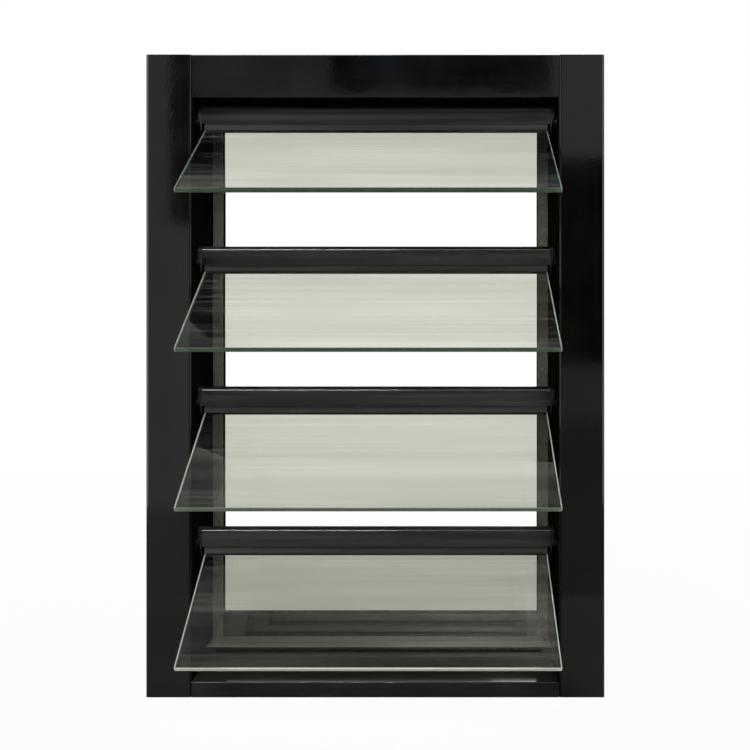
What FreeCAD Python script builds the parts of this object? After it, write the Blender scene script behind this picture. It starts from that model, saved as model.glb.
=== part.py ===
"""Jalousie window: a black aluminium frame with four tilting glass louvres.

Millimetres.  +X is to the right seen from outside, +Y goes through the wall to the inside, +Z is up.
The origin is the middle of the sill's underside.
"""
import FreeCAD, Part
import os
import re
import Sketcher
from FreeCAD import Placement, Rotation, Vector

# Driving dimensions, in millimetres and degrees
SIZES = {
    # frame
    "jamb_face": 45,
    "head_face": 42,
    "frame_depth": 88,
    "frame_wall": 2,
    "stop_lip": 11,
    "stop_depth": 9,
    "frame_arris": 1,
    "jamb_round": 2.5,
    "head_lip": 12,
    "head_recess": 8,
    # groove for a weather pile in the jambs' stops
    "pile_groove": 8,
    "pile_groove_depth": 0.8,
    # screws that hold the head and the sill between the jambs
    "screw_radius": 2.1,
    "countersink": 1.5,
    "port_radius": 3.8,
    "port_bite": 0.6,
    "port_setback": 24,
    # sill
    "sill_nose": 15,
    "sill_fall": 2,
    "sill_step_height": 28.5,
    "sill_step_setback": 52,
    "sill_upstand": 54,
    "upstand_rib": 1,
    "upstand_rib_height": 4,
    "upstand_rib_drop": 8,
    # louvre set
    "louvre_count": 4,
    "louvre_pitch": 140,
    "pivot_drop": 62.5,
    "pivot_over_base": 147.5,
    "pivot_setback": 17,
    "louvre_angle": 37.5,
    # glass
    "glass_width": 340,
    "glass_height": 136,
    "glass_thickness": 5,
    "glass_arris": 0.6,
    # rail that grips the top edge of the glass
    "rail_overhang": 3,
    "rail_nose": 11.7,
    "rail_back": 11.5,
    "rail_crown": 13,
    "rail_round": 3,
    "rail_wall": 2,
    "glass_drop": 3,
    "glass_grip": 15,
    "lip_setback": 2,
    "bead_run": 5,
    "bead_depth": 9,
    "bead_groove": 0.8,
    "bead_toe": 0.8,
    # end caps and pivots
    "cap_thickness": 5,
    "cap_rim": 0.8,
    "cap_arris": 0.8,
    "cap_gap": 2,
    "scoop_radius": 16,
    "pin_radius": 4,
    "pin_reach": 3,
    "pin_clearance": 0.06,
}

# Places worked out from the driving dimensions
FRONT = "(-frame_depth/2)"
BACK = "(frame_depth/2)"
STOP = "(frame_depth/2 - stop_depth)"
TOP = "(pivot_over_base + (louvre_count - 1)*louvre_pitch + pivot_drop)"
HEAD_UNDERSIDE = f"({TOP} - head_face)"
RAIL_LENGTH = "(glass_width + 2*rail_overhang)"
DAYLIGHT = f"({RAIL_LENGTH} + 2*cap_thickness + 2*cap_gap)"
WIDTH = f"({DAYLIGHT} + 2*jamb_face)"
PIVOT_Y = f"({FRONT} + pivot_setback)"

# Across a louvre, from its pivot axis: outwards is -Y and the weather side of the glass is +Z
NOSE = "(-rail_nose)"
GLASS_OUTSIDE = "(-glass_drop)"
GLASS_INSIDE = "(-glass_drop - glass_thickness)"
RAIL_UNDERSIDE = "(-glass_drop - glass_thickness - rail_wall)"
GLASS_TOP_EDGE = "(glass_grip - rail_nose)"
BEAD_BACK = "(bead_depth - rail_nose)"
CROWN_FRONT = "(rail_crown + glass_drop - rail_nose)"
LIP_FRONT = "(lip_setback - rail_nose)"
SLANT_WALL = "rail_wall*sqrt(2)"

# Screw ports, each against a flat inner wall of its extrusion, as (depth, height)
PORT_OFFSET = "(frame_wall + port_radius - port_bite)"
HEAD_PORTS = [
    (f"({FRONT} + port_setback)", f"({TOP} - {PORT_OFFSET})"),
    (f"({BACK} - port_setback)", f"({TOP} - {PORT_OFFSET})"),
]
SILL_PORTS = [
    (f"({FRONT} + port_setback)", PORT_OFFSET),
    (f"({BACK} - port_setback)", PORT_OFFSET),
]

NEAR = 1e-4

doc = FreeCAD.newDocument("jalousie_window")
sheet = doc.addObject("Spreadsheet::Sheet", "Sizes")
for row, (alias, size) in enumerate(SIZES.items(), start=1):
    sheet.set(f"A{row}", alias)
    sheet.set(f"B{row}", str(size))
    sheet.setAlias(f"B{row}", alias)
doc.recompute()


def cells(expression):
    """The expression with each size's name turned into its spreadsheet cell."""
    def cell(match):
        word = match.group()
        return f"Sizes.{word}" if word in SIZES else word
    return re.sub(r"[a-z][a-z_]*", cell, expression)


def value(expression):
    """The number that an expression on the sizes gives now."""
    return float(sheet.evalExpression(cells(expression)))


# Sketches and features

def new_body(label):
    body = doc.addObject("PartDesign::Body", label)
    body.Label = label
    return body


def place(body, x="0", y="0", z="0", slope="0"):
    """Bind a body's place, and its turn about the X axis, to the sizes."""
    body.Placement = Placement(Vector(0, 0, 0), Rotation(Vector(1, 0, 0), 1))
    body.setExpression("Placement.Base.x", cells(x))
    body.setExpression("Placement.Base.y", cells(y))
    body.setExpression("Placement.Base.z", cells(z))
    body.setExpression("Placement.Rotation.Angle", cells(slope))


def sketch_on(body, role):
    sketch = body.newObject("Sketcher::SketchObject", f"{body.Name}_sketch")
    plane = next(item for item in body.Origin.OriginFeatures if item.Role == role)
    sketch.AttachmentSupport = [(plane, "")]
    sketch.MapMode = "FlatFace"
    return sketch


def pin_down(sketch, geometry, point, across, up):
    """Hold one point of a sketch at a place given by expressions."""
    for kind, axis, expression in (("DistanceX", -2, across), ("DistanceY", -1, up)):
        size = value(expression)
        if expression == "0":
            sketch.addConstraint(Sketcher.Constraint("PointOnObject", geometry, point, axis))
            continue
        index = sketch.addConstraint(Sketcher.Constraint(kind, -1, 1, geometry, point, size))
        sketch.setExpression(f"Constraints[{index}]", cells(expression))


def draw_outline(sketch, corners):
    """A closed outline of straight edges whose corners are pairs of expressions."""
    points = [Vector(value(across), value(up), 0) for across, up in corners]
    first = sketch.GeometryCount
    count = len(points)
    for start, end in zip(points, points[1:] + points[:1]):
        sketch.addGeometry(Part.LineSegment(start, end), False)
    for i in range(count):
        following = first + (i + 1) % count
        sketch.addConstraint(Sketcher.Constraint("Coincident", first + i, 2, following, 1))
    for i, (across, up) in enumerate(corners):
        pin_down(sketch, first + i, 1, across, up)


def draw_circle(sketch, across, up, radius):
    centre = Vector(value(across), value(up), 0)
    index = sketch.addGeometry(Part.Circle(centre, Vector(0, 0, 1), value(radius)), False)
    pin_down(sketch, index, 3, across, up)
    size = sketch.addConstraint(Sketcher.Constraint("Radius", index, value(radius)))
    sketch.setExpression(f"Constraints[{size}]", cells(radius))


def pad(body, sketch, length, backwards=False):
    feature = body.newObject("PartDesign::Pad", f"{body.Name}_pad")
    feature.Profile = sketch
    feature.Reversed = backwards
    feature.setExpression("Length", cells(length))
    doc.recompute()
    return feature


def cut(body, sketch, length=None, backwards=False):
    """Pocket a sketch to a length, or right through both ways, and see that it took material away."""
    before = body.Shape.Volume
    feature = body.newObject("PartDesign::Pocket", f"{body.Name}_cut")
    feature.Profile = sketch
    feature.Reversed = backwards
    if length is None:
        feature.Type = "ThroughAll"
        feature.Midplane = True
    else:
        feature.setExpression("Length", cells(length))
    doc.recompute()
    if body.Shape.Volume > before - NEAR:
        raise RuntimeError(f"{body.Label}: a cut took nothing away")
    return feature


def soften(body, base, kind, size, chosen):
    """Fillet or chamfer the edges of the last feature that a test picks."""
    names = [f"Edge{i}" for i, edge in enumerate(base.Shape.Edges, start=1) if chosen(edge)]
    feature = body.newObject(f"PartDesign::{kind}", f"{body.Name}_{kind.lower()}")
    feature.Base = (base, names)
    feature.setExpression("Radius" if kind == "Fillet" else "Size", cells(size))
    doc.recompute()
    return feature


def along(edge, axis):
    return all(abs(getattr(edge.BoundBox, f"{other}Length")) < NEAR for other in "XYZ" if other != axis)


def at(edge, axis, place_on_axis):
    return abs(getattr(edge.BoundBox.Center, axis.lower()) - place_on_axis) < NEAR


# The frame: full-height jambs with the head and the sill between them

def jamb(label, side):
    """A hollow jamb with a stop at the back and a row of pivot holes; side is -1 left, 1 right."""
    def x(inward):
        return f"{side}*({WIDTH}/2 - ({inward}))"

    groove_start = "jamb_face + stop_lip/2 - pile_groove/2"
    groove_end = "jamb_face + stop_lip/2 + pile_groove/2"
    body = new_body(label)
    section = sketch_on(body, "XY_Plane")
    draw_outline(section, [
        (x("0"), FRONT),
        (x("jamb_face"), FRONT),
        (x("jamb_face"), STOP),
        (x(groove_start), STOP),
        (x(groove_start), f"({STOP} + pile_groove_depth)"),
        (x(groove_end), f"({STOP} + pile_groove_depth)"),
        (x(groove_end), STOP),
        (x("jamb_face + stop_lip"), STOP),
        (x("jamb_face + stop_lip"), BACK),
        (x("0"), BACK),
    ])
    draw_outline(section, [
        (x("frame_wall"), f"{FRONT} + frame_wall"),
        (x("jamb_face - frame_wall"), f"{FRONT} + frame_wall"),
        (x("jamb_face - frame_wall"), f"{STOP} + frame_wall"),
        (x("jamb_face + stop_lip - frame_wall"), f"{STOP} + frame_wall"),
        (x("jamb_face + stop_lip - frame_wall"), f"{BACK} - frame_wall"),
        (x("frame_wall"), f"{BACK} - frame_wall"),
    ])
    tube = pad(body, section, TOP)
    front = value(FRONT)
    soften(body, tube, "Fillet", "jamb_round", lambda edge: along(edge, "Z") and at(edge, "Y", front))

    holes = sketch_on(body, "YZ_Plane")
    for i in range(SIZES["louvre_count"]):
        draw_circle(holes, PIVOT_Y, pivot_height(i), "pin_radius + pin_clearance")
    cut(body, holes, f"{DAYLIGHT}/2 + 2*frame_wall", backwards=side > 0)

    screws = sketch_on(body, "YZ_Plane")
    for depth, height in HEAD_PORTS + SILL_PORTS:
        draw_circle(screws, depth, height, "screw_radius")
    drilled = cut(body, screws, f"{WIDTH}/2 + frame_wall", backwards=side > 0)
    outside = side * value(f"{WIDTH}/2")
    soften(body, drilled, "Chamfer", "countersink",
           lambda edge: edge.BoundBox.XLength < NEAR and at(edge, "X", outside) and len(edge.Vertexes) == 1)
    return body


def pivot_height(i):
    return f"({TOP} - pivot_drop - {i}*louvre_pitch)"


def cope_round_stops(body):
    """Notch both ends of a rail of the frame round the jambs' stops."""
    notches = sketch_on(body, "XY_Plane")
    for end, inward in (("0", "stop_lip"), (DAYLIGHT, f"{DAYLIGHT} - stop_lip")):
        draw_outline(notches, [(end, STOP), (inward, STOP), (inward, BACK), (end, BACK)])
    cut(body, notches)


def add_screw_ports(body, ports):
    """Tubes along the inside of an extrusion, which the assembly screws cut their threads in."""
    rings = sketch_on(body, "YZ_Plane")
    for depth, height in ports:
        draw_circle(rings, depth, height, "port_radius")
        draw_circle(rings, depth, height, "screw_radius")
    return pad(body, rings, DAYLIGHT)


def head(label):
    """A hollow head with a drip lip in front, a recess that the top rail turns in and a stop at the back."""
    lip = f"({FRONT} + head_lip)"
    soffit = f"({HEAD_UNDERSIDE} + head_recess)"
    stop_foot = f"({HEAD_UNDERSIDE} - stop_lip)"
    body = new_body(label)
    section = sketch_on(body, "YZ_Plane")
    draw_outline(section, [
        (FRONT, HEAD_UNDERSIDE),
        (lip, HEAD_UNDERSIDE),
        (lip, soffit),
        (STOP, soffit),
        (STOP, stop_foot),
        (BACK, stop_foot),
        (BACK, TOP),
        (FRONT, TOP),
    ])
    draw_outline(section, [
        (f"{FRONT} + frame_wall", f"{HEAD_UNDERSIDE} + frame_wall"),
        (f"{lip} - frame_wall", f"{HEAD_UNDERSIDE} + frame_wall"),
        (f"{lip} - frame_wall", f"{soffit} + frame_wall"),
        (f"{STOP} + frame_wall", f"{soffit} + frame_wall"),
        (f"{STOP} + frame_wall", f"{stop_foot} + frame_wall"),
        (f"{BACK} - frame_wall", f"{stop_foot} + frame_wall"),
        (f"{BACK} - frame_wall", f"{TOP} - frame_wall"),
        (f"{FRONT} + frame_wall", f"{TOP} - frame_wall"),
    ])
    tube = pad(body, section, DAYLIGHT)
    front, underside = value(FRONT), value(HEAD_UNDERSIDE)
    soften(body, tube, "Fillet", "frame_arris",
           lambda edge: along(edge, "X") and (at(edge, "Y", front) or at(edge, "Z", underside)))
    add_screw_ports(body, HEAD_PORTS)
    cope_round_stops(body)
    place(body, x=f"-{DAYLIGHT}/2")
    return body


def sill(label):
    """A sill with a low nose, a tread that falls outwards, a step and a ribbed upstand at the back."""
    step = f"({FRONT} + sill_step_setback)"
    rib_top = "(sill_upstand - upstand_rib_drop)"
    rib_foot = f"({rib_top} - upstand_rib_height)"
    rib_face = f"({STOP} - upstand_rib)"
    body = new_body(label)
    section = sketch_on(body, "YZ_Plane")
    draw_outline(section, [
        (FRONT, "0"),
        (BACK, "0"),
        (BACK, "sill_upstand"),
        (STOP, "sill_upstand"),
        (STOP, rib_top),
        (rib_face, rib_top),
        (rib_face, rib_foot),
        (STOP, rib_foot),
        (STOP, "sill_step_height"),
        (step, "sill_step_height"),
        (step, "sill_nose + sill_fall"),
        (FRONT, "sill_nose"),
    ])
    draw_outline(section, [
        (f"{FRONT} + frame_wall", "frame_wall"),
        (f"{BACK} - frame_wall", "frame_wall"),
        (f"{BACK} - frame_wall", "sill_upstand - frame_wall"),
        (f"{STOP} + frame_wall", "sill_upstand - frame_wall"),
        (f"{STOP} + frame_wall", "sill_step_height - frame_wall"),
        (f"{step} + frame_wall", "sill_step_height - frame_wall"),
        (f"{step} + frame_wall", "sill_nose + sill_fall - frame_wall"),
        (f"{FRONT} + frame_wall", "sill_nose - frame_wall"),
    ])
    tube = pad(body, section, DAYLIGHT)
    front, nose = value(FRONT), value("sill_nose")
    soften(body, tube, "Fillet", "frame_arris",
           lambda edge: along(edge, "X") and at(edge, "Y", front) and at(edge, "Z", nose))
    add_screw_ports(body, SILL_PORTS)
    cope_round_stops(body)
    place(body, x=f"-{DAYLIGHT}/2")
    return body


# One louvre: a pane, the rail and bead that grip it, and an end cap with a pivot pin at each end

def place_on_pivot(body, i, x):
    place(body, x, PIVOT_Y, pivot_height(i), "louvre_angle")


def glass_pane(label, i):
    body = new_body(label)
    section = sketch_on(body, "YZ_Plane")
    bottom_edge = f"({GLASS_TOP_EDGE} - glass_height)"
    draw_outline(section, [
        (bottom_edge, GLASS_INSIDE),
        (GLASS_TOP_EDGE, GLASS_INSIDE),
        (GLASS_TOP_EDGE, GLASS_OUTSIDE),
        (bottom_edge, GLASS_OUTSIDE),
    ])
    pane = pad(body, section, "glass_width")
    soften(body, pane, "Chamfer", "glass_arris", lambda edge: True)
    place_on_pivot(body, i, "-glass_width/2")
    return body


def blade_rail(label, i):
    """The extruded rail: a slanted face, a rounded crown, a slot for the glass and two hollow chambers."""
    body = new_body(label)
    section = sketch_on(body, "YZ_Plane")
    bead_top = "(bead_run - glass_drop)"
    draw_outline(section, [
        (LIP_FRONT, GLASS_INSIDE),
        (LIP_FRONT, RAIL_UNDERSIDE),
        ("rail_back", RAIL_UNDERSIDE),
        ("rail_back", "rail_crown"),
        (CROWN_FRONT, "rail_crown"),
        ("(bead_run - rail_nose)", bead_top),
        (BEAD_BACK, bead_top),
        (BEAD_BACK, GLASS_OUTSIDE),
        (GLASS_TOP_EDGE, GLASS_OUTSIDE),
        (GLASS_TOP_EDGE, GLASS_INSIDE),
    ])
    chamber_front = f"({BEAD_BACK} + rail_wall)"
    draw_outline(section, [
        (chamber_front, "(rail_wall - glass_drop)"),
        ("(rail_back - rail_wall)", "(rail_wall - glass_drop)"),
        ("(rail_back - rail_wall)", "(rail_crown - rail_wall)"),
        (f"({CROWN_FRONT} - rail_wall + {SLANT_WALL})", "(rail_crown - rail_wall)"),
        (chamber_front, f"({chamber_front} + rail_nose - glass_drop - {SLANT_WALL})"),
    ])
    behind_glass = f"({GLASS_TOP_EDGE} + rail_wall)"
    draw_outline(section, [
        (behind_glass, GLASS_INSIDE),
        ("(rail_back - rail_wall)", GLASS_INSIDE),
        ("(rail_back - rail_wall)", GLASS_OUTSIDE),
        (behind_glass, GLASS_OUTSIDE),
    ])
    bar = pad(body, section, RAIL_LENGTH)
    crown = value("rail_crown")
    soften(body, bar, "Fillet", "rail_round", lambda edge: along(edge, "X") and at(edge, "Z", crown))
    place_on_pivot(body, i, f"-{RAIL_LENGTH}/2")
    return body


def glazing_bead(label, i):
    """The strip under the rail's slanted face that holds the glass down in its slot."""
    body = new_body(label)
    section = sketch_on(body, "YZ_Plane")
    bead_top = "(bead_run - bead_groove - glass_drop)"
    draw_outline(section, [
        (NOSE, GLASS_OUTSIDE),
        (BEAD_BACK, GLASS_OUTSIDE),
        (BEAD_BACK, bead_top),
        ("(bead_run - bead_groove - bead_toe - rail_nose)", bead_top),
        (NOSE, "(bead_toe - glass_drop)"),
    ])
    pad(body, section, "glass_width")
    place_on_pivot(body, i, "-glass_width/2")
    return body


def end_cap(label, i, side):
    """A moulded cap over the rail's end, scooped under its outer face, with its pivot pin."""
    outer_face = "cap_thickness" if side > 0 else "0"
    inner_face = "0" if side > 0 else "cap_thickness"
    body = new_body(label)
    section = sketch_on(body, "YZ_Plane")
    draw_outline(section, [
        (LIP_FRONT, RAIL_UNDERSIDE),
        ("rail_back", RAIL_UNDERSIDE),
        ("rail_back", "rail_crown"),
        (CROWN_FRONT, "rail_crown"),
        (NOSE, GLASS_OUTSIDE),
    ])
    block = pad(body, section, "cap_thickness")
    crown = value("rail_crown")
    rounded = soften(body, block, "Fillet", "rail_round", lambda edge: along(edge, "X") and at(edge, "Z", crown))
    outside = value(outer_face)
    soften(body, rounded, "Chamfer", "cap_arris",
           lambda edge: edge.BoundBox.XLength < NEAR and at(edge, "X", outside))

    scoop = sketch_on(body, "XZ_Plane")
    scoop_centre = f"({outer_face} + {side}*(scoop_radius - cap_thickness + cap_rim))"
    draw_circle(scoop, scoop_centre, GLASS_OUTSIDE, "scoop_radius")
    cut(body, scoop)

    pin = sketch_on(body, "YZ_Plane")
    draw_circle(pin, "0", "0", "pin_radius")
    pin_length = "cap_gap + frame_wall + pin_reach"
    if side > 0:
        pad(body, pin, f"cap_thickness + {pin_length}")
    else:
        pad(body, pin, pin_length, backwards=True)
        root = sketch_on(body, "YZ_Plane")
        draw_circle(root, "0", "0", "pin_radius")
        pad(body, root, inner_face)
    place_on_pivot(body, i, f"{RAIL_LENGTH}/2" if side > 0 else f"-{RAIL_LENGTH}/2 - cap_thickness")
    return body


def louvre(i):
    number = i + 1
    return [
        glass_pane(f"glass_pane_{number}", i),
        blade_rail(f"blade_rail_{number}", i),
        glazing_bead(f"glazing_bead_{number}", i),
        end_cap(f"left_end_cap_{number}", i, -1),
        end_cap(f"right_end_cap_{number}", i, 1),
    ]


pieces = [jamb("left_jamb", -1), jamb("right_jamb", 1), head("head"), sill("sill")]
for louvre_index in range(SIZES["louvre_count"]):
    pieces += louvre(louvre_index)
doc.recompute()

for item in doc.Objects:
    if "Invalid" in item.State or "Error" in item.State:
        raise RuntimeError(f"{item.Label} failed: {item.State}")
for piece in pieces:
    if piece.Shape.isNull() or not piece.Shape.isValid() or len(piece.Shape.Solids) != 1:
        raise RuntimeError(f"{piece.Label} is not one sound solid")

os.makedirs("parts", exist_ok=True)
for piece in pieces:
    piece.Shape.exportStep(os.path.join("parts", f"{piece.Label}.step"))
    box = piece.Shape.BoundBox
    print(f"{piece.Label}: {piece.Shape.Volume:.0f} mm3, "
          f"x {box.XMin:.1f} to {box.XMax:.1f}, y {box.YMin:.1f} to {box.YMax:.1f}, "
          f"z {box.ZMin:.1f} to {box.ZMax:.1f}")
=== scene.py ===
# %% [markdown]
# # A jalousie window
# A black aluminium frame holds four panes of clear glass. Each pane hangs from a rail that grips its top
# edge and turns on two pins, so the panes tilt together. The frame, rails, beads and caps come from the
# CAD model as they are. This script gives them their finishes, and makes the panes, the pile strips, the
# gaskets and the screws.

# %% Load the frame
import math
import random

import bmesh
import bpy
from mathutils import Matrix, Vector


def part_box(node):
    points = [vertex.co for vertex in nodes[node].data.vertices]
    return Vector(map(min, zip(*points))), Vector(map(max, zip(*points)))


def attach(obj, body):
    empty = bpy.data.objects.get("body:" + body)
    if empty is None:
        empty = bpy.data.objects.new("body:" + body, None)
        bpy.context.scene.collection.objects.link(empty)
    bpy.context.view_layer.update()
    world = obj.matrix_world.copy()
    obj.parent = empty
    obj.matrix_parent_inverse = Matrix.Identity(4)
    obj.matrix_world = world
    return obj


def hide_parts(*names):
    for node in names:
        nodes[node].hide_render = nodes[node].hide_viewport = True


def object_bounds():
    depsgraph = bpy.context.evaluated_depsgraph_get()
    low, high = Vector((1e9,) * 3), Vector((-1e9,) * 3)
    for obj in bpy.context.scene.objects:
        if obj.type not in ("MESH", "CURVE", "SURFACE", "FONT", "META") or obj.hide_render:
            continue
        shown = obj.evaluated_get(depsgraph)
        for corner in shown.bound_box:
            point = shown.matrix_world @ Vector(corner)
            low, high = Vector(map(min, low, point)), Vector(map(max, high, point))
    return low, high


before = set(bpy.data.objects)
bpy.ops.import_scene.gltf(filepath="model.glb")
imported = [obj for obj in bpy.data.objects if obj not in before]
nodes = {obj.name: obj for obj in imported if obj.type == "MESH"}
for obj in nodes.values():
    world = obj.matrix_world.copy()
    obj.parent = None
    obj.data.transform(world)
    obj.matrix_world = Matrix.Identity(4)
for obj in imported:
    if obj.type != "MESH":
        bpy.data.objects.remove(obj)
cad_low, cad_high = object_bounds()
PANES = sorted(name for name in nodes if name.startswith("glass_pane"))
print("CAD box", [round(size, 4) for size in cad_high - cad_low], "with", len(PANES), "panes")

# %% [markdown]
# ## The camera
# The photograph looks straight at the window from a little above its middle and to the right of it. Its
# edges stay upright, so the camera is level and the frame is moved over by lens shift instead of by
# turning.

# %% Camera
PHOTO_SIZE = 750
PHOTO_SCALE = 1020.5                    # pixels a metre on the frame's front face
PRINCIPAL_POINT = (435, 330)            # where the camera's axis meets the photograph
FRAME_MIDDLE_PIXEL = 375.2              # the window's middle, across
FRAME_FOOT_PIXEL = 697.4                # the window's foot, down
CAMERA_DISTANCE = 0.800                 # from the frame's front face
SENSOR = 36.0

frame_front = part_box("head")[0].y
camera_data = bpy.data.cameras.new("photo_camera")
camera = bpy.data.objects.new("photo_camera", camera_data)
bpy.context.scene.collection.objects.link(camera)
camera.location = (
    (PRINCIPAL_POINT[0] - FRAME_MIDDLE_PIXEL) / PHOTO_SCALE,
    frame_front - CAMERA_DISTANCE,
    (FRAME_FOOT_PIXEL - PRINCIPAL_POINT[1]) / PHOTO_SCALE,
)
camera.rotation_euler = (math.radians(90), 0, 0)
camera_data.sensor_width = SENSOR
camera_data.lens = SENSOR * PHOTO_SCALE * CAMERA_DISTANCE / PHOTO_SIZE
camera_data.shift_x = (PHOTO_SIZE / 2 - PRINCIPAL_POINT[0]) / PHOTO_SIZE
camera_data.shift_y = (PRINCIPAL_POINT[1] - PHOTO_SIZE / 2) / PHOTO_SIZE
camera_data.clip_start = 0.01
bpy.context.scene.camera = camera
print("camera at", [round(place, 3) for place in camera.location], "lens", round(camera_data.lens, 1))

# %% [markdown]
# ## Writing finishes as sums
# A finish is a small tree of shader nodes. The nodes could be added and joined one by one, but a finish is
# easier to read as arithmetic. So one class stands for a socket and turns Python's operators into Math
# nodes.

# %% Sums of sockets
class Value:
    """A node's output, on which Python's operators add Math nodes."""

    def __init__(self, finish, socket):
        self.finish = finish
        self.socket = socket

    def __add__(self, other):
        return self.finish.math("ADD", self, other)

    def __sub__(self, other):
        return self.finish.math("SUBTRACT", self, other)

    def __rsub__(self, other):
        return self.finish.math("SUBTRACT", other, self)

    def __mul__(self, other):
        return self.finish.math("MULTIPLY", self, other)

    def __lt__(self, other):
        return self.finish.math("LESS_THAN", self, other)

    def __gt__(self, other):
        return self.finish.math("GREATER_THAN", self, other)

    def __abs__(self):
        return self.finish.math("ABSOLUTE", self, 0.0)

    __radd__ = __add__
    __rmul__ = __mul__


print("sockets can be added, taken away, multiplied and compared")

# %% [markdown]
# A second class stands for the finish itself. Its one method called node adds any kind of node, and the
# short methods below it name the few kinds that this window needs.

# %% Finishes
class Finish:
    """A material, or the sky, whose nodes are added by name and joined by what their sockets are given."""

    def __init__(self, name, kind=bpy.data.materials):
        self.owner = kind.new(name)
        self.owner.use_nodes = True
        self.tree = self.owner.node_tree
        self.tree.nodes.clear()

    def node(self, kind, settings=None, sockets=None, output=0):
        made = self.tree.nodes.new(kind)
        for name, setting in (settings or {}).items():
            if name == "stops":
                self.set_stops(made.color_ramp, setting)
            else:
                setattr(made, name, setting)
        for name, given in (sockets or {}).items():
            if isinstance(given, Value):
                self.tree.links.new(given.socket, made.inputs[name])
            else:
                made.inputs[name].default_value = given
        return Value(self, made.outputs[output])

    def set_stops(self, ramp, stops):
        while len(ramp.elements) < len(stops):
            ramp.elements.new(1.0)
        for element, (position, level) in zip(ramp.elements, stops):
            element.position = position
            element.color = (level, level, level, 1)

    def math(self, operation, first, second):
        return self.node("ShaderNodeMath", {"operation": operation}, {0: first, 1: second})

    def mix(self, amount, first, second):
        return self.node("ShaderNodeMix", {"data_type": "RGBA"}, {0: amount, 6: first, 7: second}, output=2)

    def place(self, stretch=(1, 1, 1)):
        """Object coordinates, stretched along the axes."""
        here = self.node("ShaderNodeTexCoord", output="Object")
        return self.node("ShaderNodeMapping", {}, {"Vector": here, "Scale": stretch})

    def along(self, axis):
        """How far a point lies along one axis, in metres."""
        return self.node("ShaderNodeSeparateXYZ", {}, {0: self.place()}, output=axis)

    def noise(self, scale, detail=3.0, stretch=(1, 1, 1)):
        sockets = {"Vector": self.place(stretch), "Scale": scale, "Detail": detail}
        return self.node("ShaderNodeTexNoise", {}, sockets, output="Fac")

    def ramp(self, amount, stops):
        return self.node("ShaderNodeValToRGB", {"stops": stops}, {"Fac": amount})

    def bump(self, height, distance, strength=1.0):
        sockets = {"Height": height, "Distance": distance, "Strength": strength}
        return self.node("ShaderNodeBump", {}, sockets)

    def principled(self, sockets):
        return self.node("ShaderNodeBsdfPrincipled", {}, sockets, output="BSDF")

    def diffuse(self, colour):
        return self.node("ShaderNodeBsdfDiffuse", {}, {"Color": colour})

    def glow(self, colour):
        return self.node("ShaderNodeEmission", {}, {"Color": colour, "Strength": 1.0})

    def blend(self, amount, first, second):
        return self.node("ShaderNodeMixShader", {}, {0: amount, 1: first, 2: second})

    def done(self, shader, kind="ShaderNodeOutputMaterial"):
        output = self.tree.nodes.new(kind)
        self.tree.links.new(shader.socket, output.inputs["Surface"])
        return self.owner


def grey(level, warmth=0.0):
    """A grey, in linear light, made a little warmer or cooler."""
    return (level * (1 + warmth), level, level * (1 - warmth), 1)


print("a middle grey is", grey(0.18))

# %% [markdown]
# ## Powder coat
# The frame and rails are aluminium extrusions with a black stoved powder coat. It is glossy but not flat:
# close up it has the fine ripple of orange peel, handling leaves it a little hazy, faint streaks run
# along the bar, and dust settles on it. The hazy patches are also paler and tinted in its colour, which is
# partly that haze and partly painted reflection. A painted picture could show all that, but noise does it
# at any size, and noise that is stretched along the bar makes the streaks. The bars differ only in how much
# they have of each, so one function makes every coat.

# %% Powder coat
ALONG_X, ALONG_Z = (0.03, 1, 1), (1, 1, 0.03)   # stretch a pattern along a bar
PEEL_HEIGHT = 0.00004
# Painted shade: inside faces where shade falls get this plain matt grey in place of the gloss.
MATT_SHADE_GREY = 0.004                               # the grey of a coat that is thin and matt
SPECK = (0.22, 0.06)                            # the level and warmth of a speck of dust
# A pale grey laid over the sill's step and a little of its tread.
PALE_LAYER = (0.30, 0.295, 0.25, 1)                   # a whole layer of dust


def powder_coat(name, level, gloss, cloud, warmth, haze_and_reflection_warmth, drawing, spread=(1, 1, 1), streaky=2.0,
                ripple=0.4, matt=None, pale_places=None):
    """A black coat on a bar that was drawn one way.

    Level is its grey and gloss its roughness. Cloud and its warmth are for the paler, tinted patches on it,
    which are partly haze and partly painted reflection, and spread is for their shape. Streaky and ripple
    say how much the streaks and the orange peel show. The function given for matt finds the faces that get
    painted shade, a plain matt grey that mirrors nothing, and the other function finds the faces that are
    made paler.
    """
    finish = Finish(name)
    haze_and_reflection = finish.ramp(finish.noise(20, 4, stretch=spread), [(0.36, 0.0), (0.72, 1.0)])
    drawn = finish.noise(160, 3, stretch=drawing)
    streak = finish.ramp(drawn, [(0.42, 0.0), (0.70, 1.0)])
    speck = finish.ramp(finish.noise(1500, 1), [(0.75, 0.0), (0.80, 1.0)])
    # The paler, tinted patches are partly handling haze and partly painted reflection.
    colour = finish.mix(haze_and_reflection, grey(level * 0.5, warmth), grey(level * 2.4, haze_and_reflection_warmth))
    colour = finish.mix(streak * 0.6, colour, grey(level * streaky, warmth + 0.04))
    colour = finish.mix(speck * 0.12, colour, grey(*SPECK))
    # Where the function for it finds them, faces are made paler, streaked along the bar.
    if pale_places:
        colour = finish.mix(pale_places(finish) * (0.55 + drawn * 0.6), colour, PALE_LAYER)
    peel = finish.noise(420, 1.5)
    coat = finish.principled({
        "Base Color": colour,
        "Roughness": gloss + haze_and_reflection * cloud + drawn * 0.03,
        "Normal": finish.bump(peel, PEEL_HEIGHT, ripple),
    })
    # Painted shade: where matt gives 1, the glossy coat gives way to a plain matt grey that mirrors
    # nothing.
    if matt:
        coat = finish.blend(matt(finish), coat, finish.diffuse(grey(MATT_SHADE_GREY, warmth)))
    return finish.done(coat)


print("orange peel is", round(PEEL_HEIGHT * 1e6), "micrometres high")

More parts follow.
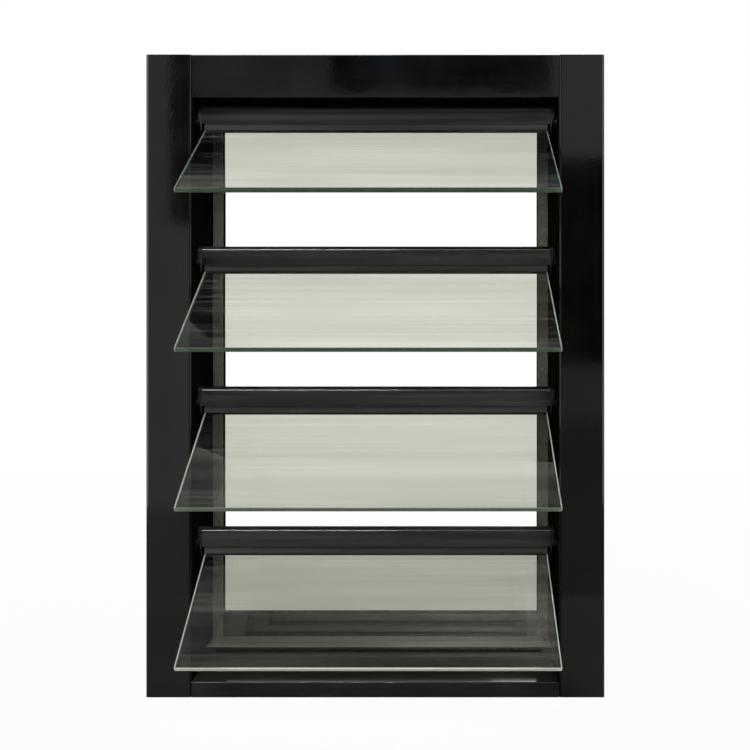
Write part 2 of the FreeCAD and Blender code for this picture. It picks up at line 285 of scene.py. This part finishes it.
# %% [markdown]
# ## Painted shade and paler places
# Inside the opening, where shade falls, the glossy coat gives way to a plain matt grey that mirrors
# nothing:
# this is painted shade. The same painted shade lies in part on the jambs' inner rounded edge, where it dims
# the highlight, and on the sill's upstand and tread. The sill's step and a little of its tread are made
# paler.
# Those faces could have finishes of their own, but the CAD meshes stay as they are. The faces lie at known
# places, so tests on Object coordinates find them. A test gives 1 inside and 0 outside, and multiplying two
# tests asks for both.

# %% Places on the jambs and the head
SKIN = 0.0004                           # this far from a face still counts as on it
JAMB_ROUND = 0.0024                     # the jamb's rounded edge at the opening
JAMB_ROUND_MATT = 0.6
HEAD_ROUND = 0.0012
SOFFIT_RISE = 0.0195                    # from the head's underside to just above its recess

OPENING_HALF = -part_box("head")[0].x
FRAME_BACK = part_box("left_jamb")[1].y
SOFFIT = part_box("head")[0].z + SOFFIT_RISE


# Painted shade on the jambs' inside faces, and in part on their inner rounded edge, where it dims the
# highlight.
def jamb_inside(finish):
    across, depth = abs(finish.along("X")), finish.along("Y")
    inside = (across < OPENING_HALF + SKIN) * (depth < FRAME_BACK - SKIN)
    edge = (across < OPENING_HALF + JAMB_ROUND) * (across > OPENING_HALF + SKIN) * (depth < 0)
    return inside + edge * JAMB_ROUND_MATT


# Painted shade under the head, in its recess.
def head_inside(finish):
    height, depth = finish.along("Z"), finish.along("Y")
    return (height < SOFFIT) * (depth < FRAME_BACK - SKIN) * (depth > frame_front + HEAD_ROUND)


print("the opening is", round(2 * OPENING_HALF, 3), "m wide")

# %% Places on the sill
TREAD_LOW, TREAD_HIGH = 0.0146, 0.0175  # the tread falls a little to the front
TREAD_MATT, TREAD_PALE = 0.65, 0.19
NOSE_ROUND = 0.002
SILL_STEP_TOP = 0.0285
UPSTAND_FOOT = SILL_STEP_TOP + 0.001
UPSTAND_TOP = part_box("sill")[1].z
UPSTAND_MATT, UPSTAND_TOP_MATT = 0.4, 0.55


def sill_tread(finish):
    height, depth = finish.along("Z"), finish.along("Y")
    return (height > TREAD_LOW) * (height < TREAD_HIGH) * (depth > frame_front + NOSE_ROUND)


# Painted shade on the sill's upstand and its top, and on its tread.
def sill_inside(finish):
    height = finish.along("Z")
    upstand = (height > UPSTAND_FOOT) * UPSTAND_MATT + (height > UPSTAND_TOP - SKIN) * UPSTAND_TOP_MATT
    return upstand + sill_tread(finish) * TREAD_MATT


# The faces made paler: the whole step, and the tread at a small share.
def sill_pale_places(finish):
    step = abs(finish.along("Z") - SILL_STEP_TOP) < SKIN
    return step + sill_tread(finish) * TREAD_PALE


print("the sill's upstand is", round(UPSTAND_TOP - SILL_STEP_TOP, 4), "m above its step")

# %% [markdown]
# ## The coats of this window
# The jambs are the blackest and flattest. The head's haze is bluish, in part as painted reflection. The
# rails and beads are handled most, so they are greyer and more streaked, and their haze is drawn out along
# them.

# %% Coats
RAIL_SPREAD = (0.12, 2, 2)

jamb_coat = powder_coat("jamb_powder_coat", level=0.0013, gloss=0.03, cloud=0.05, warmth=0.03,
                        haze_and_reflection_warmth=0.05, drawing=ALONG_Z, matt=jamb_inside)
head_coat = powder_coat("head_powder_coat", level=0.0023, gloss=0.03, cloud=0.07, warmth=-0.05,
                        haze_and_reflection_warmth=-0.28, drawing=ALONG_X, matt=head_inside)
sill_coat = powder_coat("sill_powder_coat", level=0.0030, gloss=0.04, cloud=0.06, warmth=0.05,
                        haze_and_reflection_warmth=0.08, drawing=ALONG_X, matt=sill_inside, pale_places=sill_pale_places)
rail_coat = powder_coat("rail_powder_coat", level=0.0048, gloss=0.06, cloud=0.06, warmth=0.05,
                        haze_and_reflection_warmth=0.10, drawing=ALONG_X, spread=RAIL_SPREAD, streaky=6.0, ripple=0.18)
bead_coat = powder_coat("bead_powder_coat", level=0.012, gloss=0.11, cloud=0.06, warmth=0.03,
                        haze_and_reflection_warmth=0.05, drawing=ALONG_X, spread=RAIL_SPREAD, streaky=3.5, ripple=0.18)
print("coats:", [coat.name for coat in (jamb_coat, head_coat, sill_coat, rail_coat, bead_coat)])

# %% [markdown]
# ## Nylon caps
# The end caps are moulded black nylon. Moulded nylon has a fine spark-eroded grain, so it is matt beside
# the powder coat. One fine noise makes that grain, and it changes the colour, the gloss and the surface
# together.

# %% Nylon finish
GRAIN_HEIGHT = 0.00006


def moulded_nylon(name):
    finish = Finish(name)
    grain = finish.noise(2600, 2)
    return finish.done(finish.principled({
        "Base Color": finish.mix(grain, grey(0.003), grey(0.008)),
        "Roughness": 0.38 + grain * 0.16,
        "Specular IOR Level": 0.2,
        "Normal": finish.bump(grain, GRAIN_HEIGHT, 0.5),
    }))


nylon = moulded_nylon("moulded_nylon")
print("nylon:", nylon.name)

# %% [markdown]
# ## Finishes on the CAD pieces
# The CAD pieces have the right shape already, so each only gets its finish, by its name without its
# number.

# %% Paint the CAD pieces
FINISH_OF = {
    "left_jamb": jamb_coat,
    "right_jamb": jamb_coat,
    "head": head_coat,
    "sill": sill_coat,
    "blade_rail": rail_coat,
    "glazing_bead": bead_coat,
    "left_end_cap": nylon,
    "right_end_cap": nylon,
}
painted = 0
for name, node in nodes.items():
    family = name.rstrip("0123456789").rstrip("_")
    if family in FINISH_OF:
        node.data.materials.clear()
        node.data.materials.append(FINISH_OF[family])
        painted += 1
print("painted", painted, "CAD pieces")

# %% [markdown]
# ## Glass
# Float glass looks clear through its face and green through its edge, where light has come a long way
# through it. A face that has been wiped also shows faint level streaks, and dust clings to it. One glass
# for the whole pane would miss that, so a pane has three finishes: clear faces with a thin veil of dust,
# polished long edges, and short edges that are ground and so look pale. The colour of the edges also
# changes with height as painted light: low down, near the bright floor, they are paler, and high up
# greener.

# %% Glass of the faces
GLASS_IOR = 1.5
HAZY_TINT = (0.81, 0.815, 0.765, 1)
WIPED_TINT = (0.985, 0.988, 0.943, 1)
VEIL = 0.001                            # the least dust anywhere on a face


def pane_glass(name):
    finish = Finish(name)
    broad = finish.ramp(finish.noise(15, 3, stretch=(0.14, 2, 2)), [(0.38, 0.0), (0.66, 1.0)])
    wiped = finish.ramp(finish.noise(11, 1, stretch=(0.5, 2.2, 2.2)), [(0.40, 0.0), (0.58, 1.0)])
    fine = finish.ramp(finish.noise(150, 2, stretch=(0.012, 2, 2)), [(0.46, 0.0), (0.64, 1.0)]) * wiped
    speck = finish.ramp(finish.noise(1300, 1), [(0.76, 0.0), (0.80, 1.0)])
    clear = finish.principled({
        "Base Color": finish.mix(broad * 0.55 + fine * 0.75, HAZY_TINT, WIPED_TINT),
        "Roughness": 0.0,
        "IOR": GLASS_IOR,
        "Transmission Weight": 1.0,
    })
    veil = fine * 0.03 + speck * broad * 0.14 + VEIL
    return finish.done(finish.blend(veil, clear, finish.diffuse(grey(0.75, 0.03))))


face_finish = pane_glass("clear_float_glass")
print("glass of the faces:", face_finish.name)

# %% Glass of the edges
def edge_glass(name, dark, pale, roughness, clearness, turn, painted_light_by_height):
    """The finish of an edge. By height its colour turns into another, as painted light: low down, near the
    bright floor, an edge is paler, and high up it is greener.
    """
    finish = Finish(name)
    ground = finish.noise(700, 3)
    colour = finish.mix(ground, dark, pale)
    # Painted light: by height the colour turns paler low down and greener high up.
    colour = finish.mix(finish.ramp(finish.along("Z"), painted_light_by_height), colour, turn)
    return finish.done(finish.principled({
        "Base Color": colour,
        "Roughness": roughness + ground * 0.2,
        "IOR": GLASS_IOR,
        "Transmission Weight": clearness,
    }))


# Painted light: the long edges low down, near the bright floor, turn pale.
long_edge = edge_glass(
    "polished_long_edge_painted_light", dark=(0.045, 0.085, 0.050, 1), pale=(0.13, 0.19, 0.125, 1), roughness=0.12,
    clearness=0.45, turn=(0.72, 0.73, 0.64, 1),
    painted_light_by_height=[(0.06, 1.0), (0.12, 0.4), (0.21, 0.1), (0.32, 0.0)])
# Painted shade: the short edges high up, on the top pane, turn a darker green.
short_edge = edge_glass(
    "ground_short_edge_painted_light", dark=(0.62, 0.68, 0.58, 1), pale=(0.86, 0.89, 0.80, 1), roughness=0.45,
    clearness=0.10, turn=(0.16, 0.34, 0.20, 1),
    painted_light_by_height=[(0.20, 0.05), (0.30, 0.12), (0.42, 0.34), (0.51, 0.82)])
print("glass of the edges:", long_edge.name, "and", short_edge.name)

# %% [markdown]
# ## Panes
# A pane could be a fresh box, but the CAD pane already has its place, slope and arrises. So each pane
# starts as a copy of that mesh: its triangles are merged back into whole faces, and every face that
# doesn't look the way the two big faces look gets one of the two edge finishes, by the way it looks.

# %% Panes
MERGE = 1e-5
FACE_ANGLE = math.radians(1)
SAME_WAY = 0.99                         # the cosine past which a face looks the way a big face does
SIDEWAYS = 0.5
FACE, LONG_EDGE, SHORT_EDGE = range(3)


def add_piece(name, bm, materials, body):
    mesh = bpy.data.meshes.new(name)
    bm.to_mesh(mesh)
    bm.free()
    piece = bpy.data.objects.new(name, mesh)
    bpy.context.scene.collection.objects.link(piece)
    for material in materials:
        mesh.materials.append(material)
    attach(piece, body)
    return piece


def make_pane(node_name):
    number = node_name.rsplit("_", 1)[1]
    bm = bmesh.new()
    bm.from_mesh(nodes[node_name].data)
    bmesh.ops.remove_doubles(bm, verts=bm.verts, dist=MERGE)
    bmesh.ops.dissolve_limit(bm, angle_limit=FACE_ANGLE, verts=bm.verts, edges=bm.edges)
    broad = max(bm.faces, key=lambda face: face.calc_area()).normal.copy()
    for face in bm.faces:
        if abs(face.normal.dot(broad)) > SAME_WAY:
            face.material_index = FACE
        else:
            face.material_index = SHORT_EDGE if abs(face.normal.x) > SIDEWAYS else LONG_EDGE
    print(node_name, "has", len(bm.faces), "faces")
    finishes = [face_finish, long_edge, short_edge]
    pane = add_piece(f"pane_{number}", bm, finishes, f"louvre_{number}")
    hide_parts(node_name)
    return pane


panes = [make_pane(name) for name in PANES]

# %% [markdown]
# ## Pile strips
# A strip of grey wool pile sits in the groove of the stop at the back of each jamb. Single hairs would
# not show at this size, so the pile is one rough face. Combed noise gives it its colour and its bumps.

# %% Wool pile finish
COMBED_HEIGHT = 0.0006


def wool_pile(name):
    finish = Finish(name)
    combed = finish.noise(900, 4, stretch=(1, 1, 0.12))
    worn = finish.noise(40, 2)
    colour = finish.mix(combed, (0.060, 0.056, 0.044, 1), (0.250, 0.235, 0.190, 1))
    return finish.done(finish.principled({
        "Base Color": finish.mix(worn, colour, (0.125, 0.117, 0.095, 1)),
        "Roughness": 0.9,
        "Normal": finish.bump(combed, COMBED_HEIGHT, 0.7),
        "Sheen Weight": 0.25,
    }))


pile = wool_pile("wool_pile")
print("pile:", pile.name)

# %% [markdown]
# The strip's backing fits the groove, and its rough, combed face spreads over the stop. So it is a grid
# that is pushed about a little, whose rim is extruded down to the stop, in under the pile and down again
# to the bottom of the groove. It starts lying flat and is stood up at the end. An extrusion adds its
# faces in any order, so they are sorted by place, and every run gives the same mesh.

# %% Pile strips
STOP_FACE = FRAME_BACK - 0.009
STOP_LIP = 0.011
GROOVE_DEPTH = 0.0008
BACKING_WIDTH = 0.0076
STRIP_WIDTH = 0.0106
STRIP_THICKNESS = 0.0024
STRIP_FUZZ = 0.0004
STRIP_STEP = 0.002
STRIP_COLUMNS = 5
STRIP_LIFT = 0.0001                     # the pile's underside, above the stop
FUZZ_SEED = 7
FOOT_TO_TOP = Vector((0.013, 0.37, 1))  # sorts by height, and level points by depth and width


def make_pile_strip(side):
    """A strip in one jamb's stop, from the sill's step to the head's stop; side is -1 left, 1 right."""
    label = "left" if side < 0 else "right"
    middle = side * (OPENING_HALF - STOP_LIP / 2)
    foot, top = SILL_STEP_TOP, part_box("head")[0].z
    rows = round((top - foot) / STRIP_STEP)
    bm = bmesh.new()
    bmesh.ops.create_grid(bm, x_segments=STRIP_COLUMNS, y_segments=rows, size=0.5)
    bmesh.ops.scale(bm, vec=(STRIP_WIDTH, top - foot, 1), verts=bm.verts)
    fuzz = random.Random(FUZZ_SEED + side)
    for vert in bm.verts:
        vert.co.z = STRIP_THICKNESS + fuzz.uniform(-STRIP_FUZZ, STRIP_FUZZ)
    underside = GROOVE_DEPTH + STRIP_LIFT
    for height, narrowing in ((underside, 1), (underside, BACKING_WIDTH / STRIP_WIDTH), (0, 1)):
        rim = [edge for edge in bm.edges if edge.is_boundary]
        skirt = bmesh.ops.extrude_edge_only(bm, edges=rim)["geom"]
        for vert in (item for item in skirt if isinstance(item, bmesh.types.BMVert)):
            vert.co.x *= narrowing
            vert.co.z = height
    bmesh.ops.holes_fill(bm, edges=[edge for edge in bm.edges if edge.is_boundary])
    bmesh.ops.recalc_face_normals(bm, faces=bm.faces)
    place = Matrix.Translation((middle, STOP_FACE + GROOVE_DEPTH, (foot + top) / 2))
    stand_up = Matrix.Rotation(math.radians(90), 4, "X")
    bmesh.ops.transform(bm, matrix=place @ stand_up, verts=bm.verts)
    bm.verts.sort(key=lambda vert: vert.co.dot(FOOT_TO_TOP))
    bm.faces.sort(key=lambda face: face.calc_center_median().dot(FOOT_TO_TOP))
    print(label, "pile strip with", len(bm.faces), "faces")
    return add_piece(f"{label}_pile_strip", bm, [pile], "frame")


strips = [make_pile_strip(side) for side in (-1, 1)]

# %% [markdown]
# ## Gaskets
# Between a rail and its glazing bead lies a thin rubber gasket, which shows as a black line along the
# rail. It could be a dark stripe in the finish, but its lip stands back a little, in shadow. The
# gap is known from the bead: it starts at the bead's upper front edge and slants back with the pane. So
# the gasket is a block that is drawn out, bevelled along its lip, laid at that slant and moved into the
# gap.

# %% Rubber finish
BLOOM_HEIGHT = 0.00005


def rubber(name):
    finish = Finish(name)
    bloom = finish.noise(500, 3)
    return finish.done(finish.principled({
        "Base Color": finish.mix(bloom, grey(0.012), grey(0.026)),
        "Roughness": 0.55 + bloom * 0.25,
        "Specular IOR Level": 0.05,
        "Normal": finish.bump(bloom, BLOOM_HEIGHT, 0.4),
    }))


gasket_rubber = rubber("gasket_rubber")
print("rubber:", gasket_rubber.name)

# %% Gaskets
LOUVRE_SLANT = math.radians(37.5)
GAP = 0.0008
GASKET_THICKNESS = GAP * 0.86
GASKET_DEPTH = 0.0034
GASKET_FROM_EDGE = 0.0004
LIP_BEVEL = GAP * 0.3
LONG_WAY = 0.1                          # only the edges along the gasket are longer than this
BEAD_CORNER = (0.00062, -0.0034)        # from the box of a bead, its lowest y and highest z


def make_gasket(number):
    low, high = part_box(f"glazing_bead_{number}")
    bm = bmesh.new()
    bmesh.ops.create_cube(bm, size=1)
    bmesh.ops.scale(bm, vec=(high.x - low.x, GASKET_DEPTH, GASKET_THICKNESS), verts=bm.verts)
    bmesh.ops.translate(bm, vec=(0, GASKET_DEPTH / 2 + GASKET_FROM_EDGE, GAP / 2), verts=bm.verts)
    lip = [edge for edge in bm.edges
           if all(v.co.y < GASKET_DEPTH / 2 for v in edge.verts) and edge.calc_length() > LONG_WAY]
    bmesh.ops.bevel(bm, geom=lip, offset=LIP_BEVEL, affect="EDGES", segments=3, profile=0.5, material=-1)
    corner = Vector((0, low.y + BEAD_CORNER[0], high.z + BEAD_CORNER[1]))
    slant = Matrix.Translation(corner) @ Matrix.Rotation(LOUVRE_SLANT, 4, "X")
    bmesh.ops.transform(bm, matrix=slant, verts=bm.verts)
    return add_piece(f"gasket_{number}", bm, [gasket_rubber], f"louvre_{number}")


gaskets = [make_gasket(name.rsplit("_", 1)[1]) for name in PANES]
print(len(gaskets), "gaskets with", len(gaskets[0].data.polygons), "faces each")

# %% [markdown]
# ## Assembly screws
# The head and the sill are held by countersunk screws that go through both jambs into ports inside the
# extrusions. Only their heads show, so only those are made. A head is a short cone. Its drive is a
# six-lobed socket: the flat face is inset, every fourth corner of the inset ring is drawn in, and the
# ring's face is pushed down.

# %% Screw head
SCREW_HEAD_RADIUS = 0.0035
SCREW_SHANK_RADIUS = 0.0020
SCREW_HEAD_DEPTH = 0.0015
SCREW_SIDES = 24
SOCKET_RADIUS = 0.0017
SOCKET_DEPTH = 0.0009
CORNERS_A_LOBE = 4
LOBE_DRAWN_IN = 0.72
HEAD_REACH = 0.01                       # a head at the origin lies within this


def plated_steel(name):
    finish = Finish(name)
    turned = finish.noise(1800, 2)
    return finish.done(finish.principled({
        "Base Color": finish.mix(turned, grey(0.09), grey(0.16, 0.03)),
        "Metallic": 0.9,
        "Roughness": 0.28 + turned * 0.2,
    }))


def add_screw_head(bm):
    """A head at the origin that looks up; gives its vertices."""
    cone = bmesh.ops.create_cone(bm, cap_ends=True, segments=SCREW_SIDES, radius1=SCREW_SHANK_RADIUS,
                                 radius2=SCREW_HEAD_RADIUS, depth=SCREW_HEAD_DEPTH)["verts"]
    flat = max((f for v in cone for f in v.link_faces), key=lambda f: f.calc_center_median().z)
    bmesh.ops.inset_region(bm, faces=[flat], thickness=SCREW_HEAD_RADIUS - SOCKET_RADIUS)
    for i, corner in enumerate(flat.verts):
        if i % CORNERS_A_LOBE == 0:
            corner.co.xy *= LOBE_DRAWN_IN
    socket = bmesh.ops.extrude_discrete_faces(bm, faces=[flat])["faces"][0]
    bmesh.ops.translate(bm, vec=(0, 0, -SOCKET_DEPTH), verts=socket.verts)
    return [v for v in bm.verts if v.co.length < HEAD_REACH]


steel = plated_steel("black_plated_steel")
print("screw heads have", SCREW_SIDES // CORNERS_A_LOBE, "lobes and are of", steel.name)

# %% Screws
SCREW_RECESS = 0.00008
SCREW_DEPTHS = (-0.020, 0.020)
SCREW_FROM_END = 0.0052


def make_screws(side):
    """The four screw heads in one jamb's outer face; side is -1 left, 1 right."""
    label = "left" if side < 0 else "right"
    low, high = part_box(f"{label}_jamb")
    face = low.x if side < 0 else high.x
    across = face - side * (SCREW_HEAD_DEPTH / 2 + SCREW_RECESS)
    outwards = Matrix.Rotation(side * math.radians(90), 4, "Y")
    bm = bmesh.new()
    for depth in SCREW_DEPTHS:
        for height in (low.z + SCREW_FROM_END, high.z - SCREW_FROM_END):
            head = add_screw_head(bm)
            place = Matrix.Translation((across, depth, height))
            bmesh.ops.transform(bm, matrix=place @ outwards, verts=head)
    bmesh.ops.remove_doubles(bm, verts=bm.verts, dist=MERGE)
    bmesh.ops.recalc_face_normals(bm, faces=bm.faces)
    print(label, "jamb has", len(SCREW_DEPTHS) * 2, "screws,", len(bm.faces), "faces")
    return add_piece(f"{label}_jamb_screws", bm, [steel], "frame")


screws = [make_screws(side) for side in (-1, 1)]

# %% [markdown]
# ## Studio
# The window stands on a pale floor in front of a white backdrop. The camera, and rays that mirror off the
# metal, see both as plain white, and the floor keeps a little of the window's shadow. In front of the
# window the metal mirrors the floor itself, somewhat dimmed. Through the panes the same floor and backdrop
# look a little duller, and duller still close behind the window, where less light reaches the floor. The
# Light Path node tells these rays apart.

# %% Studio white
FLOOR_DEPTH = 5.0
FLOOR_GREY = 0.55
MIRROR_DIMMING = 0.34
NEAR_TONE = (0.33, 0.335, 0.295, 1)
FAR_TONE = (0.80, 0.81, 0.745, 1)


def light_path(finish, ray):
    return finish.node("ShaderNodeLightPath", output=f"Is {ray} Ray")


def studio_white(name, is_floor):
    """A pale surface that shows as white, with its own tone behind glass."""
    finish = Finish(name)
    camera_sees, mirror_sees = light_path(finish, "Camera"), light_path(finish, "Glossy")
    lit = finish.diffuse(grey(FLOOR_GREY))
    tone = FAR_TONE
    if is_floor:
        back = finish.along("Y") * (1 / FLOOR_DEPTH)
        shade = finish.ramp(back, [(0.0, 0.0), (0.06, 0.15), (0.2, 0.62), (0.4, 0.84), (1.0, 1.0)])
        tone = finish.mix(shade, NEAR_TONE, FAR_TONE)
        camera_sees = camera_sees * finish.ramp(back, [(0.0, 0.95), (0.08, 0.97), (0.3, 1.0)])
        lit = finish.blend(mirror_sees * MIRROR_DIMMING, lit, finish.diffuse(grey(0.0)))
        mirror_sees = mirror_sees * finish.ramp(back, [(0.0, 0.0), (0.2, 1.0)])
    seen = finish.math("MINIMUM", camera_sees + mirror_sees, 1.0)
    plain = finish.blend(seen, lit, finish.glow(grey(1.0)))
    return finish.done(finish.blend(light_path(finish, "Transmission"), plain, finish.glow(tone)))


print("the floor runs", FLOOR_DEPTH, "m back")

# %% Floor and backdrop
STAGE_HALF = 14
FLOOR_FRONT = -0.35
BACKDROP_HEIGHT = 5


def add_stage(name, low, high, is_floor):
    """A flat sheet between two corners."""
    size = Vector(high) - Vector(low)
    bm = bmesh.new()
    bmesh.ops.create_grid(bm, x_segments=1, y_segments=1, size=0.5)
    if not is_floor:
        bmesh.ops.rotate(bm, matrix=Matrix.Rotation(math.radians(90), 3, "X"), verts=bm.verts)
    bmesh.ops.scale(bm, vec=size, verts=bm.verts)
    bmesh.ops.translate(bm, vec=(Vector(low) + Vector(high)) / 2, verts=bm.verts)
    mesh = bpy.data.meshes.new(name)
    bm.to_mesh(mesh)
    bm.free()
    mesh.materials.append(studio_white(f"{name}_white", is_floor))
    piece = bpy.data.objects.new(name, mesh)
    bpy.context.scene.collection.objects.link(piece)
    return piece


floor = add_stage("floor", (-STAGE_HALF, FLOOR_FRONT, 0), (STAGE_HALF, FLOOR_DEPTH, 0), True)
backdrop = add_stage("backdrop", (-STAGE_HALF, FLOOR_DEPTH, 0),
                     (STAGE_HALF, FLOOR_DEPTH, BACKDROP_HEIGHT), False)
print("stage:", floor.name, "and", backdrop.name)

# %% [markdown]
# ## Sky
# The camera sees the sky as white. The panes mirror what is overhead, so for rays from the glass the sky
# there is a ceiling with soft bands across it. All other rays find a dim room, because the lamps give the
# light. A sky has no Object coordinates, so its bands follow the direction of a ray.

# %% Sky
CEILING_DARK, CEILING_PALE = (0.22, 0.24, 0.29, 1), (1.15, 1.13, 1.05, 1)

sky = Finish("studio_sky", bpy.data.worlds)
direction = sky.node("ShaderNodeTexCoord", output="Generated")
stretched = sky.node("ShaderNodeMapping", {}, {"Vector": direction, "Scale": (1.2, 16, 1)})
bands = sky.node("ShaderNodeTexNoise", {}, {"Vector": stretched, "Scale": 1.6, "Detail": 2.0}, output="Fac")
bands = sky.ramp(bands, [(0.38, 0.0), (0.62, 1.0)])
upwards = sky.node("ShaderNodeSeparateXYZ", {}, {0: direction}, output="Z")
overhead = sky.ramp(upwards, [(0.35, 0.0), (0.6, 1.0)])
ceiling = sky.mix(bands, CEILING_DARK, CEILING_PALE)
from_glass = sky.mix(overhead, grey(1.0), ceiling)
room_colour = sky.mix(light_path(sky, "Transmission"), grey(0.03, 0.02), from_glass)
room_colour = sky.mix(light_path(sky, "Camera"), room_colour, grey(1.0))
room = sky.node("ShaderNodeBackground", {}, {"Color": room_colour, "Strength": 1.0})
bpy.context.scene.world = sky.done(room, "ShaderNodeOutputWorld")
print("sky:", bpy.context.scene.world.name)

# %% [markdown]
# ## Lamps
# Gloss black shows hardly any colour of its own, so what it mirrors makes its look. Two large soft lamps
# stand to the left and right and give the plain light. Two strip lamps up in front draw the bright line
# along each rail's crown. A lamp behind the window lights its inside.

# %% Lamps
AREA_LAMP_SHARE = 4                     # Cycles lights with a quarter of an area lamp's watts


def add_lamp(name, location, size, level, aim, through_glass=False):
    """A flat lamp of a given brightness, as it would look in a mirror."""
    lamp = bpy.data.lights.new(name, "AREA")
    lamp.shape = "RECTANGLE"
    lamp.size, lamp.size_y = size
    lamp.energy = AREA_LAMP_SHARE * level * size[0] * size[1]
    piece = bpy.data.objects.new(name, lamp)
    piece.location = location
    piece.rotation_euler = (Vector(aim) - Vector(location)).to_track_quat("-Z", "Y").to_euler()
    piece.visible_camera = False
    piece.visible_transmission = through_glass
    bpy.context.scene.collection.objects.link(piece)
    return piece


window_middle = (cad_low + cad_high) / 2
add_lamp("left_strip_lamp", (-0.55, -1.63, 2.50), (0.9, 0.56), 22.0,
         (-0.55, window_middle.y, window_middle.z), through_glass=True)
add_lamp("right_strip_lamp", (0.25, -1.63, 2.50), (0.7, 0.56), 4.0,
         (0.25, window_middle.y, window_middle.z), through_glass=True)
add_lamp("left_soft_lamp", (-1.70, -1.55, 0.70), (1.4, 2.0), 3.0, window_middle)
add_lamp("right_soft_lamp", (1.70, -1.55, 0.70), (1.4, 2.0), 2.4, window_middle)
add_lamp("inside_lamp", (0.9, 2.2, 1.7), (1.4, 1.4), 2.5, window_middle)
print("lamps:", len(bpy.data.lights))

# %% [markdown]
# ## Cards
# Large dim cards beside the camera give the jambs, the head and the rails their soft, uneven sheen, with
# dark gaps between them. They could be white boards, but a lamp has a brightness of its own. All of them
# stand in one plane and face the window, so a card is four edges and a brightness.

# %% Cards
CARD_Y = -1.8
CARDS = {                               # left, right, bottom, top, brightness
    "left_card": (-1.70, -0.77, -0.20, 1.70, 0.42),
    "left_low_card": (-0.77, -0.68, -0.20, 0.69, 0.46),
    "left_foot_card": (-1.70, -0.68, -1.30, -0.20, 0.25),
    "head_card": (-0.70, -0.27, 1.07, 1.25, 0.20),
    "right_card": (0.43, 0.90, 0.90, 1.60, 0.43),
    "right_band_card": (0.43, 0.90, 0.09, 0.25, 0.24),
    "right_foot_card": (0.43, 0.90, -1.30, 0.09, 0.14),
    "rail_card": (-0.66, 0.40, -0.20, 1.10, 0.33),
    "top_rail_card": (-0.66, 0.40, 1.28, 1.80, 0.14),
}
for name, (left, right, bottom, top, level) in CARDS.items():
    middle = ((left + right) / 2, CARD_Y, (bottom + top) / 2)
    add_lamp(name, middle, (right - left, top - bottom), level, (middle[0], 0, middle[2]))
print("cards:", len(CARDS))

# %% [markdown]
# ## View colour
# The view is shown with plain Standard colour.

# %% Finish
bpy.context.scene.view_settings.view_transform = "Standard"
